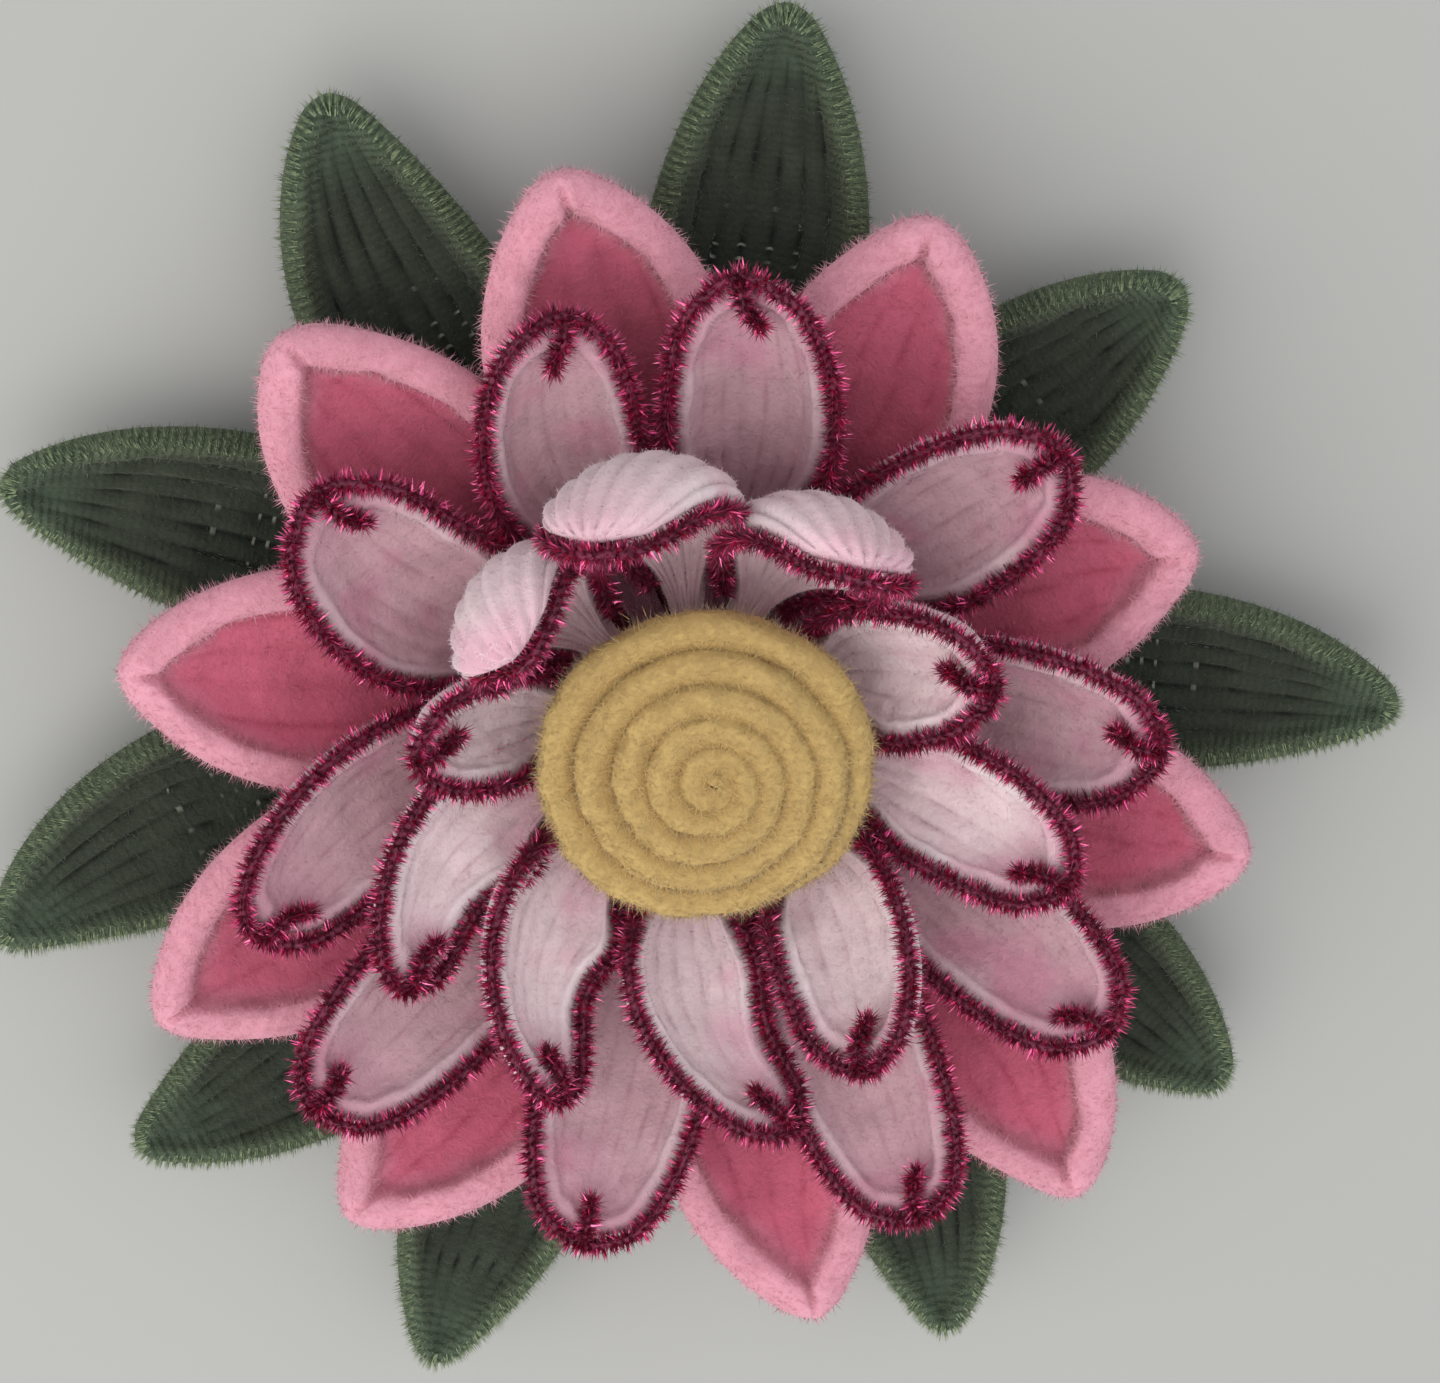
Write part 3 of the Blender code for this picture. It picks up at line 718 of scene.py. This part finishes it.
def plush_material(
    name, crest, valley, rim, tip=None, tip_from=0.8, root=None, sheen=0.6, sheen_tint=(1, 1, 1),
    bump=0.5, mottle=0.14, specks=None, specks_to=0.5, blush=None, strokes=0.0,
):
    """Plush with a fine nap, painted lighter on the stems' crests and the rim and darker between stems and,
    where a root colour is given, towards the root: painted light and shade.
    """
    made, tree, shader = new_material(name)
    lay = node(tree, "ShaderNodeAttribute", attribute_name="lay")
    parts = node(tree, "ShaderNodeSeparateXYZ", {0: lay.outputs["Vector"]})
    u, edge, side = parts.outputs
    place = node(tree, "ShaderNodeTexCoord").outputs["Object"]
    patch_noise = {"Vector": place, "Scale": 140.0, "Detail": 3.0}
    patches = node(tree, "ShaderNodeTexNoise", patch_noise).outputs["Fac"]
    nap_noise = {"Vector": place, "Scale": 1300.0, "Detail": 3.0, "Roughness": 0.7}
    nap = node(tree, "ShaderNodeTexNoise", nap_noise)
    tuft_noise = {"Vector": place, "Scale": 480.0, "Detail": 2.0, "Distortion": 0.6}
    tufts = node(tree, "ShaderNodeTexNoise", tuft_noise)
    # Painted shade: darker in the valleys between the stems, lighter on their crests
    color = mix(tree, ranged(tree, side, 0.0, 0.85), valley, crest)
    # Painted light: the raised rim lighter than the inside, as lit
    color = mix(tree, ranged(tree, edge, 0.30, 1.45, 1.0, 0.0), color, rim)
    if tip:
        color = mix(tree, ranged(tree, u, tip_from, 1.0), color, tip)
    # Painted shade: darker towards the root, deep in the cup at the centre
    if root:
        color = mix(tree, ranged(tree, u, 0.15, 0.6, 1.0, 0.0), color, root)
    if blush:
        cloud_noise = {"Vector": place, "Scale": 55.0, "Detail": 2.0}
        clouds = node(tree, "ShaderNodeTexNoise", cloud_noise).outputs["Fac"]
        color = mix(tree, ranged(tree, clouds, 0.52, 0.72, 0.0, 0.8), color, blush)
    if strokes:
        turned = math_node(tree, "SINE", math_node(tree, "MULTIPLY", u, strokes * 2 * math.pi), 0.0)
        by_turn = ranged(tree, turned, -0.6, 0.9, 0.0, 0.45)
        here = math_node(tree, "MULTIPLY", by_turn, ranged(tree, edge, 1.0, 1.3, 1.0, 0.35))
        color = mix(tree, here, color, tuple(0.35 * value for value in crest))
    color = mix(tree, ranged(tree, patches, 0.3, 0.7, 0.0, mottle, smooth=False), color, (0.0, 0.0, 0.0))
    lift = ranged(tree, nap.outputs["Fac"], 0.35, 0.7, 0.0, mottle, smooth=False)
    color = mix(tree, lift, color, (1.0, 1.0, 1.0), "SOFT_LIGHT")
    # Specks: real dark marks on the white plush; the light specks on the leaves are painted glints
    if specks:
        speck_scale = {0: lay.outputs["Vector"], 1: (60.0, 26.0, 0.0)}
        stretch = node(tree, "ShaderNodeVectorMath", speck_scale, operation="MULTIPLY")
        spots = node(tree, "ShaderNodeTexNoise", {"Vector": stretch.outputs[0], "Scale": 1.6, "Detail": 1.0})
        here = ranged(tree, spots.outputs["Fac"], 0.61, 0.67)
        here = math_node(tree, "MULTIPLY", here, ranged(tree, side, 0.75, 0.35))
        here = math_node(tree, "MULTIPLY", here, ranged(tree, u, specks_to, specks_to * 0.6))
        color = mix(tree, here, color, specks)
    tree.links.new(color, shader.inputs["Base Color"])
    fine = node(tree, "ShaderNodeBump", {"Height": nap.outputs["Fac"], "Strength": bump, "Distance": 0.0005})
    coarse = node(
        tree, "ShaderNodeBump",
        {
            "Height": tufts.outputs["Fac"], "Strength": bump * 0.8, "Distance": 0.0009,
            "Normal": fine.outputs[0],
        },
    )
    tree.links.new(coarse.outputs[0], shader.inputs["Normal"])
    shader.inputs["Roughness"].default_value = 0.95
    shader.inputs["Specular IOR Level"].default_value = 0.08
    shader.inputs["Sheen Weight"].default_value = sheen
    shader.inputs["Sheen Roughness"].default_value = 0.45
    shader.inputs["Sheen Tint"].default_value = (*sheen_tint, 1.0)
    return made


def fibre_material(name, low, high, sheen=0.5, rim=None):
    """Single fibres of the pile, each a little lighter or darker than the next, and painted lighter on a rim,
    as the rim is lit.
    """
    made, tree, shader = new_material(name)
    place = node(tree, "ShaderNodeTexCoord").outputs["Object"]
    shade = node(tree, "ShaderNodeTexNoise", {"Vector": place, "Scale": 900.0, "Detail": 1.0}).outputs["Fac"]
    color = mix(tree, ranged(tree, shade, 0.35, 0.65), low, high)
    # Painted light: lighter on the rim, following the plush under the pile
    if rim:
        lay = node(tree, "ShaderNodeAttribute", attribute_name="lay")
        edge = node(tree, "ShaderNodeSeparateXYZ", {0: lay.outputs["Vector"]}).outputs[1]
        color = mix(tree, ranged(tree, edge, 0.30, 1.45, 0.9, 0.0), color, rim)
    tree.links.new(color, shader.inputs["Base Color"])
    shader.inputs["Roughness"].default_value = 0.9
    shader.inputs["Specular IOR Level"].default_value = 0.1
    shader.inputs["Sheen Weight"].default_value = sheen
    shader.inputs["Sheen Roughness"].default_value = 0.5
    return made


def foil_material(name, dark, light, roughness, metallic=1.0):
    """Coloured foil, mottled by its crinkles."""
    made, tree, shader = new_material(name)
    place = node(tree, "ShaderNodeTexCoord").outputs["Object"]
    crinkle = node(tree, "ShaderNodeTexNoise", {"Vector": place, "Scale": 700.0, "Detail": 2.0})
    crinkled = mix(tree, ranged(tree, crinkle.outputs["Fac"], 0.35, 0.65), dark, light)
    tree.links.new(crinkled, shader.inputs["Base Color"])
    folds = {"Height": crinkle.outputs["Fac"], "Strength": 0.3, "Distance": 0.0003}
    bumped = node(tree, "ShaderNodeBump", folds)
    tree.links.new(bumped.outputs[0], shader.inputs["Normal"])
    shader.inputs["Roughness"].default_value = roughness
    shader.inputs["Metallic"].default_value = metallic
    return made


# The white plush is pinked partly for its real blush and partly as painted pink light reflected from the
# tinsel and the pink petals; its darker valleys and root are painted shade
WHITE = plush_material(
    "white_plush", (0.84, 0.66, 0.68), (0.70, 0.50, 0.54), (0.86, 0.71, 0.73),
    tip=(0.78, 0.50, 0.56), tip_from=0.80, root=(0.66, 0.44, 0.48), sheen=0.25, bump=0.4,
    blush=(0.76, 0.42, 0.51), specks=(0.10, 0.07, 0.08), specks_to=0.6,
)
# A darker, pinker copy of the white plush for the outer whorl, whose insides face away from the key: painted
# shade and painted reflected pink light
SHADED_OUTER_WHITE = plush_material(
    "outer_white_plush_shaded", (0.61, 0.38, 0.42), (0.49, 0.27, 0.31), (0.70, 0.49, 0.53),
    tip=(0.64, 0.34, 0.41), tip_from=0.80, root=(0.42, 0.18, 0.24), sheen=0.25, bump=0.4,
    blush=(0.60, 0.26, 0.35), specks=(0.10, 0.07, 0.08), specks_to=0.5,
)
WHITE_PILE = fibre_material("white_pile", (0.76, 0.57, 0.60), (0.84, 0.68, 0.70), rim=(0.86, 0.72, 0.74))
# The outer whorl's pile, darker to match: painted shade
SHADED_OUTER_PILE = fibre_material(
    "outer_white_pile_shaded", (0.54, 0.30, 0.35), (0.64, 0.40, 0.45), rim=(0.70, 0.49, 0.53),
)
# Painted shade and light: the pink's darker valleys and root and its lighter rim
PINK = plush_material(
    "pink_plush", (0.64, 0.145, 0.225), (0.50, 0.09, 0.15), (0.76, 0.34, 0.42),
    tip=(0.76, 0.35, 0.43), tip_from=0.93, root=(0.40, 0.05, 0.10), sheen=0.4,
    sheen_tint=(1.0, 0.75, 0.82), bump=0.5,
)
PINK_PILE = fibre_material(
    "pink_pile", (0.60, 0.14, 0.21), (0.70, 0.20, 0.28), sheen=0.4, rim=(0.79, 0.38, 0.46),
)
# The leaves' near-black valleys and lighter rim are painted shade and light, and their light specks painted
# glints
GREEN = plush_material(
    "green_plush", (0.045, 0.055, 0.040), (0.014, 0.018, 0.014), (0.085, 0.110, 0.068),
    tip=(0.080, 0.110, 0.072), tip_from=0.84, sheen=0.2, sheen_tint=(0.8, 0.9, 0.7), bump=0.8, mottle=0.3,
    specks=(0.40, 0.42, 0.34), specks_to=0.85, strokes=82.0,
)
GREEN_PILE = fibre_material(
    "green_pile", (0.035, 0.045, 0.030), (0.08, 0.10, 0.06), sheen=0.3, rim=(0.14, 0.17, 0.11),
)
# The rim's bristles are lighter than the leaf's green, as lit: painted light
LIT_GREEN_TUFT = fibre_material("green_tuft_lit", (0.085, 0.12, 0.065), (0.26, 0.32, 0.18), sheen=0.3)
# The yellow's darker valley colour is painted shade in the grooves between the coil's turns
YELLOW = plush_material(
    "yellow_plush", (0.57, 0.40, 0.155), (0.42, 0.25, 0.085), (0.57, 0.40, 0.155), sheen=0.2,
    sheen_tint=(1.0, 0.9, 0.6), bump=0.3, mottle=0.08,
)
YELLOW_PILE = fibre_material("yellow_pile", (0.54, 0.37, 0.145), (0.60, 0.43, 0.18), sheen=0.3)
FOIL_CORE = foil_material("foil_core", (0.13, 0.018, 0.045), (0.22, 0.03, 0.075), 0.6, 0.3)
# Dark, mid and light copies of the one magenta foil, picked at random per sliver: painted shade and painted
# glints over the foil's own colour
FOIL_SHADE = foil_material("foil_shade", (0.19, 0.05, 0.08), (0.30, 0.07, 0.12), 0.5, 0.7)
FOIL_MID = foil_material("foil_mid", (0.46, 0.05, 0.14), (0.66, 0.08, 0.22), 0.35, 0.9)
FOIL_GLINT = foil_material("foil_glint", (0.80, 0.09, 0.28), (1.0, 0.22, 0.44), 0.28)
FELT = plush_material(
    "green_felt", (0.05, 0.09, 0.05), (0.03, 0.05, 0.03), (0.05, 0.09, 0.05), sheen=0.3, bump=0.8, mottle=0.3,
)

# Petals and leaves
LEAF_LOOK = Plush(
    rim_width=0.0060, rim_root=0.55, rim_height=0.0038, stem_width=0.0060, stem_height=0.0030, valley=0.0009,
    under_valley=0.0015, back_width=0.0060, rim_wander=0.08,
    fade_from=0.8, fade_to=1.0, seam=0.3, wave=0.0007,
    rows=64, columns=49,
)
PINK_LOOK = Plush(
    rim_width=0.0105, rim_root=0.45, rim_height=0.0048, stem_width=0.0075, stem_height=0.0020, valley=0.0011,
    under_valley=0.0016, back_width=0.0060, rim_wander=0.20,
    fade_from=0.5, fade_to=1.0, seam=0.35, wave=0.0009,
    rows=60, columns=49,
)
WHITE_LOOK = Plush(
    rim_width=0.0050, rim_root=0.7, rim_height=0.0032, stem_width=0.0050, stem_height=0.0026, valley=0.0015,
    under_valley=0.0008, back_width=0.0048, rim_wander=0.20,
    fade_from=0.45, fade_to=1.0, seam=0.0, wave=0.0009,
    rows=56, columns=45,
)


def place_petals(
    prefix, ring, petals, look, materials, slot, pile, root_radius=HUB_RADIUS + SEAT_GAP, one_node=None,
):
    """Every petal of a whorl as its own piece, with its pile."""
    surfaces = []
    for i, petal in enumerate(petals):
        name = f"{prefix}_{i + 1:02d}"
        surface = Surface(ring, petal, i, len(petals), root_radius)
        shape = petal_shape(look, surface)
        rng = np.random.default_rng(1000 + 17 * i + len(prefix))
        pile(shape, rng, surface)
        shape.object(f"{name}_plush", materials, one_node or name, slot)
        surfaces.append(surface)
    return surfaces


WHITE_NAP = Blades(4000, 0.0011, 0.00016, 62)
PINK_NAP = Blades(10000, 0.0020, 0.00017, 60)
LEAF_NAP = Blades(5500, 0.0012, 0.00020, 58)
COIL_NAP = Blades(40000, 0.0014, 0.00014, 62)
COIL_HAIRS = Blades(12000, 0.0026, 0.00012, 50)
HUB_NAP = Blades(6000, 0.0016, 0.0002, 50)
FELT_NAP = Blades(9000, 0.0007, 0.00012, 70)
RIM_WEIGHT = 2.2


def rim_first(inside_weight):
    """Weights that put most of the pile on a petal's rim."""
    return lambda lay, up: np.where(lay[:, 1] < 1, RIM_WEIGHT, inside_weight)


def shown_first(lay, up):
    """Weights that put most of the coil's pile where it shows."""
    return np.where(up[:, 2] > -0.3, 1.0, 0.1)


def all_but_base(lay, up):
    """Weights that leave the underside of the felt bare."""
    return np.where(up[:, 2] < -0.9, 0.0, 1.0)


def white_pile(shape, rng, surface):
    add_pile(shape, rng, WHITE_NAP, 1)


def pink_pile(shape, rng, surface):
    add_pile(shape, rng, PINK_NAP, 1, rim_first(0.6))


def leaf_pile(shape, rng, surface):
    add_pile(shape, rng, LEAF_NAP, 1, rim_first(0.4))
    add_tufts(shape, rng, surface)


TUFT_PITCH = 0.0017
TUFT_BLADES = 24
TUFT_SPREAD = 0.00030
TUFT_LEAN = 0.09
TUFT_ROOT = 0.0028
TUFT_HALF_WIDTH = 0.00016


def add_tufts(shape, rng, surface):
    """Bunches of bristles along the leaf's rim, one for each half turn of the twisted wire."""
    line = surface.outline(start=0.3)
    step = unit(np.gradient(line, axis=0))
    outward = np.stack([-step[:, 1], step[:, 0]], 1)
    run = np.concatenate([[0], np.cumsum(np.linalg.norm(np.diff(line, axis=0), axis=1))])
    stops = np.arange(0, run[-1], TUFT_PITCH)
    t = np.repeat(stops, TUFT_BLADES) + rng.normal(0, TUFT_SPREAD, len(stops) * TUFT_BLADES)
    t = np.clip(t, 0, run[-1])
    at = np.stack([np.interp(t, run, line[:, k]) for k in range(2)], 1)
    out = unit(np.stack([np.interp(t, run, outward[:, k]) for k in range(2)], 1))
    lean = rng.normal(0, TUFT_LEAN, (len(t), 1))
    along = np.stack([-out[:, 1], out[:, 0]], 1)
    reach = 0.0008 + 0.0014 * rng.random((len(t), 1))
    reach = reach * np.repeat(0.85 + 0.3 * rng.random((len(stops), 1)), TUFT_BLADES, 0)
    start = at - out * TUFT_ROOT
    tip = at + (out + along * lean) * reach
    width = along * TUFT_HALF_WIDTH
    height = rng.uniform(-0.0010, 0.0034, len(t))
    rise = rng.uniform(-0.0008, 0.0016, len(t))
    length = surface.petal.length

    def lifted(plane, offset):
        return surface.place(plane[:, 1] / length, plane[:, 0], offset)

    low, inside = lifted(start - width, height)
    high, _ = lifted(start + width, height)
    end, _ = lifted(tip, height + rise)
    lay = np.stack([t / run[-1], rng.random(len(t)), rng.random(len(t))], 1)
    add_blades(shape, low, high, end, lay, 2, inside)


place_petals(
    "leaf", LEAF_RING, LEAVES, LEAF_LOOK, [GREEN, GREEN_PILE, LIT_GREEN_TUFT], "green_plush", leaf_pile,
    HUB_RADIUS - ROOT_DEPTH, "leaf_whorl",
)
place_petals("pink_petal", PINK_RING, PINK_PETALS, PINK_LOOK, [PINK, PINK_PILE], "pink_plush", pink_pile)
outer = place_petals(
    "outer_petal", OUTER_RING, OUTER_PETALS, WHITE_LOOK, [SHADED_OUTER_WHITE, SHADED_OUTER_PILE], "white_plush", white_pile,
)
inner = place_petals(
    "inner_petal", INNER_RING, INNER_PETALS, WHITE_LOOK, [WHITE, WHITE_PILE], "white_plush", white_pile,
)

# Tinsel edges
RIM_WIRE_SPACING, RIM_SLIVER_SPACING = 0.0012, 0.0004
TAIL_BEND = 0.006
for prefix, surfaces in (("outer_petal_tinsel", outer), ("inner_petal_tinsel", inner)):
    for i, surface in enumerate(surfaces):
        name = f"{prefix}_{i + 1:02d}"
        rng = np.random.default_rng(5000 + 31 * i + len(prefix))
        shape = Shape()
        rim = tinsel_path(surface, RIM_WIRE_SPACING)
        bend = TAIL_BEND * math.sin(2.4 * i + 0.7)
        tail = tail_path(surface, bend)
        for path in (rim, tail[::2]):
            lay = np.stack([np.linspace(0, 1, len(path)), np.zeros(len(path)), np.zeros(len(path))], 1)
            tube(shape, path, lay, RIM_WIRE if path is rim else TAIL_WIRE, WIRE_SIDES, 0)
        add_slivers(shape, rng, tinsel_path(surface, RIM_SLIVER_SPACING), RIM_SLIVERS)
        add_slivers(shape, rng, tail, TAIL_SLIVERS)
        add_fan(shape, rng, tail[-1], tail[-1] - tail[-4])
        shape.object(f"{name}_foil", [FOIL_CORE, FOIL_SHADE, FOIL_MID, FOIL_GLINT], name, "magenta_tinsel")

# Coiled centre
COIL_STEPS = 420
COIL_SIDES = 20
COIL_END_TURN = 5.57
COIL_SPREAD = 0.00400
COIL_SPREAD_POWER = 1.195
COIL_OFFSET = np.array([0.0034, -0.0004, 0])
COIL_LEAN = 0.32
COIL_STRETCH = 1.2
COIL_LUMPS = np.array([-0.023, -0.004, 0.06])
COIL_LUMP_SPREAD = 0.009


def coil():
    """The stem coiled from the middle, each turn's outer edge over the next, its end tucked in."""
    shape = Shape()
    turn = np.linspace(0.05, COIL_END_TURN, COIL_STEPS)
    radius = COIL_SPREAD * turn ** COIL_SPREAD_POWER
    height = COIL_HEIGHT + PLUSH_STEM / 2 + COIL_DOME * (1 - (radius / COIL_RADIUS) ** 2)
    outward = radial(360 * turn)
    path = outward * radius[:, None]
    path[:, 2] = height
    path += COIL_OFFSET * (1 - turn / COIL_END_TURN)[:, None]
    thick = 0.0033 + 0.0012 * turn / COIL_END_TURN
    tucked = ranged_array(0, 0.45, COIL_END_TURN - turn)
    thick = thick * (0.5 + 0.5 * tucked)
    path -= (outward * 0.0035 + np.array([0, 0, 0.0008])) * (1 - tucked)[:, None]
    lay = np.stack([turn / COIL_TURNS, np.full(len(turn), 3.0), np.ones(len(turn))], 1)
    tube(shape, path, lay, thick, COIL_SIDES, 0)
    body = len(turn) * COIL_SIDES
    away = np.repeat(outward, COIL_SIDES, 0)
    sideways = np.sum((shape.points[:body] - np.repeat(path, COIL_SIDES, 0)) * away, 1)
    inner = np.repeat(np.minimum(1, turn / 1.5), COIL_SIDES)
    shape.points[:body] += away * (sideways * (COIL_STRETCH - 1))[:, None]
    shape.points[:body, 2] += sideways * COIL_LEAN * inner
    # Each turn is painted lighter on its raised outer side and darker on its inner side, tucked in the
    # groove: painted shade
    shape.lay[:body, 2] = np.clip(0.5 + sideways / 0.006, 0, 1)
    lumps = np.exp(-np.sum((shape.points - COIL_LUMPS)[:, :2] ** 2, 1) / (2 * COIL_LUMP_SPREAD ** 2))
    push = rough(shape.points, 90, 0.0010) + rough(shape.points, 280, 0.0007) * (1 + 2.0 * lumps)
    shape.points += unit(shape.points - np.array([0, 0, COIL_HEIGHT - 0.02])) * push[:, None]
    rng = np.random.default_rng(77)
    add_pile(shape, rng, COIL_NAP, 1, shown_first)
    add_pile(shape, rng, COIL_HAIRS, 1, shown_first)
    shape.object("centre_coil_plush", [YELLOW, YELLOW_PILE], "centre_coil", "yellow_plush")


coil()

# Hub of bound stem ends
HUB_TOP = COIL_HEIGHT - SEAT_GAP
HUB_BOTTOM = BACKING_THICKNESS + SEAT_GAP
HUB_PITCH = 0.0052


def hub():
    """The stem ends behind the coil, bound round and round."""
    shape = Shape()
    turns = (HUB_TOP - HUB_BOTTOM - 0.004) / HUB_PITCH
    turn = np.linspace(0, turns, int(turns * 40))
    path = radial(360 * turn) * (HUB_RADIUS - 0.0028)
    path[:, 2] = HUB_BOTTOM + 0.002 + turn * HUB_PITCH
    lay = np.stack([turn / turns, np.full(len(turn), 3.0), np.ones(len(turn))], 1)
    tube(shape, path, lay, 0.0029, 10, 0)
    core = np.array([[0, 0, HUB_BOTTOM], [0, 0, (HUB_BOTTOM + HUB_TOP) / 2], [0, 0, HUB_TOP]])
    tube(shape, core, np.ones((3, 3)), HUB_RADIUS - 0.003, 24, 0)
    add_pile(shape, np.random.default_rng(88), HUB_NAP, 1)
    shape.object("hub_plush", [GREEN, GREEN_PILE], "leaf_whorl", "green_plush")


hub()


def backing():
    """The round of felt under the hub, with a soft edge."""
    shape = Shape()
    profile = [
        (0.0, 0.0), (0.5, 0.0), (0.93, 0.0), (0.985, 0.12), (1.0, 0.5),
        (0.985, 0.88), (0.93, 1.0), (0.5, 1.0), (0.0, 1.0),
    ]
    segments = 120
    angle = np.linspace(0, 2 * np.pi, segments + 1)
    points = []
    for share, height in profile:
        wobble = 1 + 0.006 * np.sin(angle * 5) + 0.004 * np.sin(angle * 13 + 1)
        radius = max(share, 0.001) * BACKING_RADIUS * np.where(share > 0.9, wobble, 1)
        level = np.full(len(angle), height * BACKING_THICKNESS)
        points.append(np.stack([np.sin(angle) * radius, np.cos(angle) * radius, level], 1))
    points = np.concatenate(points)
    quads = grid_faces(len(profile), segments + 1, flip=False)
    shape.add(points, np.full((len(points), 3), 3.0), quads)
    add_pile(shape, np.random.default_rng(99), FELT_NAP, 0, all_but_base)
    shape.points[:, 2] = np.maximum(shape.points[:, 2], 0)
    shape.object("felt_backing_felt", [FELT], "felt_backing", "green_felt")


backing()


# Floor, light and camera


def floor():
    """The paper that the flower lies on, which is no part of it."""
    mesh = bpy.data.meshes.new("floor")
    size = 15.0
    corners = [(-size, -size, 0), (size, -size, 0), (size, size, 0), (-size, size, 0)]
    mesh.from_pydata(corners, [], [(0, 1, 2, 3)])
    made, tree, shader = new_material("floor_paper")
    place = node(tree, "ShaderNodeTexCoord").outputs["Object"]
    grain = node(tree, "ShaderNodeTexNoise", {"Vector": place, "Scale": 3.0, "Detail": 2.0}).outputs["Fac"]
    tree.links.new(mix(tree, grain, (0.41, 0.41, 0.385), (0.45, 0.45, 0.425)), shader.inputs["Base Color"])
    shader.inputs["Roughness"].default_value = 0.85
    mesh.materials.append(made)
    placed = bpy.data.objects.new("floor", mesh)
    placed.location.z = -0.0002
    bpy.context.scene.collection.objects.link(placed)


def area_light(name, place, size, energy, color):
    """A square light that points at the flower."""
    data = bpy.data.lights.new(name, "AREA")
    data.size = size
    data.energy = energy
    data.color = color
    placed = bpy.data.objects.new(name, data)
    placed.location = place
    aim = Vector((0, 0, 0.04)) - Vector(place)
    placed.rotation_euler = aim.to_track_quat("-Z", "Y").to_euler()
    bpy.context.scene.collection.objects.link(placed)


def light():
    """A warm key from the lower left, a softer fill from the right, and a pale sky."""
    area_light("key", (-0.62, -0.34, 1.05), 1.7, 12.5, (1.0, 0.97, 0.93))
    area_light("fill", (0.6, 0.2, 1.2), 1.6, 5.5, (0.97, 0.98, 1.0))
    world = bpy.data.worlds.new("studio")
    world.use_nodes = True
    background = world.node_tree.nodes["Background"]
    background.inputs["Color"].default_value = (0.93, 0.95, 1.0, 1.0)
    background.inputs["Strength"].default_value = 0.66
    bpy.context.scene.world = world


def camera():
    """The photograph's camera, above the flower and a little towards its top."""
    data = bpy.data.cameras.new("camera")
    tilt = math.radians(CAMERA_TILT)
    right = Vector((1, 0, 0))
    up = Vector((0, math.cos(tilt), -math.sin(tilt)))
    back = Vector((0, math.sin(tilt), math.cos(tilt)))
    aim = right * (PHOTO_WIDTH / 2 - AXIS_PIXEL[0]) * METRES_PER_PIXEL
    aim -= up * (PHOTO_HEIGHT / 2 - AXIS_PIXEL[1]) * METRES_PER_PIXEL
    placed = bpy.data.objects.new("camera", data)
    data.sensor_width = 36
    data.lens = CAMERA_DISTANCE / METRES_PER_PIXEL / PHOTO_WIDTH * data.sensor_width
    data.clip_start = 0.01
    turned = Matrix((right, up, back)).transposed().to_4x4()
    placed.matrix_world = Matrix.Translation(aim + back * CAMERA_DISTANCE) @ turned
    bpy.context.scene.collection.objects.link(placed)
    bpy.context.scene.camera = placed


floor()
light()
camera()
bpy.context.scene.view_settings.view_transform = "Standard"
